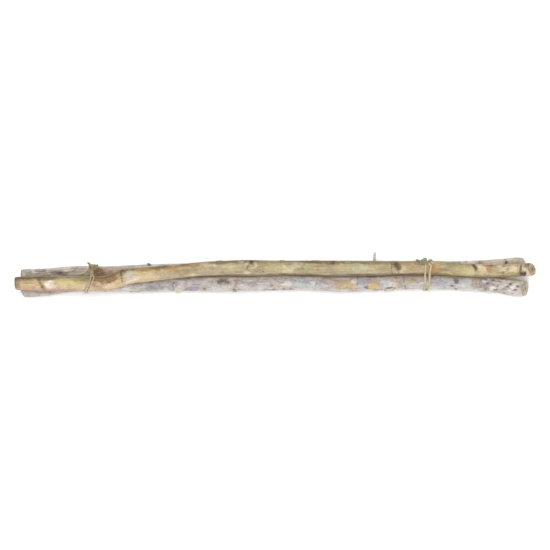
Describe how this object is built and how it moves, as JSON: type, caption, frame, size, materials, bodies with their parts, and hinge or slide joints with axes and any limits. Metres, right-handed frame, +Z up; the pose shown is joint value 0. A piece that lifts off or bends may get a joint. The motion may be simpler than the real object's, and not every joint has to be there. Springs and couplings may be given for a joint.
{
  "type": "bundle of natural climbing sticks",
  "caption": "Crooked natural sticks in bark, laid side by side as a flat-lying bundle and held together near both ends by tied turns of natural twine.",
  "frame": {"origin": "on the ground plane, under the middle of the bundle's length and width", "axes": "+X along the sticks towards the end where the front stick is beside the back stick, +Y across the bundle towards the back stick, +Z up"},
  "size_m": [0.7998, 0.0671, 0.0563],
  "materials": {
    "front_bark": "matt olive and tan bark",
    "back_bark": "matt grey-brown bark",
    "lower_bark": "matt pale grey birch-like bark",
    "sapwood": "sawn end grain",
    "pith": "soft dark pith",
    "front_stubs": "dark broken twigs and knots",
    "back_stubs": "grey-green buds and a dry stalk",
    "lower_stubs": "yellow-brown warts and a knot",
    "front_flakes": "torn brown bark",
    "back_flakes": "loose grey bark",
    "lower_flakes": "papery bark",
    "twine": "matt natural fibre twine"
  },
  "bodies": {
    "lower_stick": {"lower_bark": "lower_bark", "lower_wood": "sapwood", "lower_pith": "pith", "lower_stubs": "lower_stubs", "lower_flakes": "lower_flakes"},
    "front_stick": {"front_bark": "front_bark", "front_wood": "sapwood", "front_pith": "pith", "front_stubs": "front_stubs", "front_flakes": "front_flakes"},
    "back_stick": {"back_bark": "back_bark", "back_wood": "sapwood", "back_pith": "pith", "back_stubs": "back_stubs", "back_flakes": "back_flakes"},
    "left_tie": {"left_tie_wraps": "twine", "left_tie_knot": "twine", "left_tie_tails": "twine"},
    "right_tie": {"right_tie_wraps": "twine", "right_tie_knot": "twine", "right_tie_tails": "twine"}
  },
  "joints": [
    {"name": "front_stick_slide", "type": "slide", "parent": "lower_stick", "child": "front_stick", "axis": [1, 0, 0], "range_m": [-0.002, 0.015]},
    {"name": "back_stick_slide", "type": "slide", "parent": "lower_stick", "child": "back_stick", "axis": [1, 0, 0], "range_m": [-0.015, 0.004]},
    {"name": "left_tie_slide", "type": "slide", "parent": "lower_stick", "child": "left_tie", "axis": [1, 0, 0], "range_m": [-0.006, 0.002]},
    {"name": "right_tie_slide", "type": "slide", "parent": "lower_stick", "child": "right_tie", "axis": [1, 0, 0], "range_m": [-0.008, 0.002]}
  ]
}
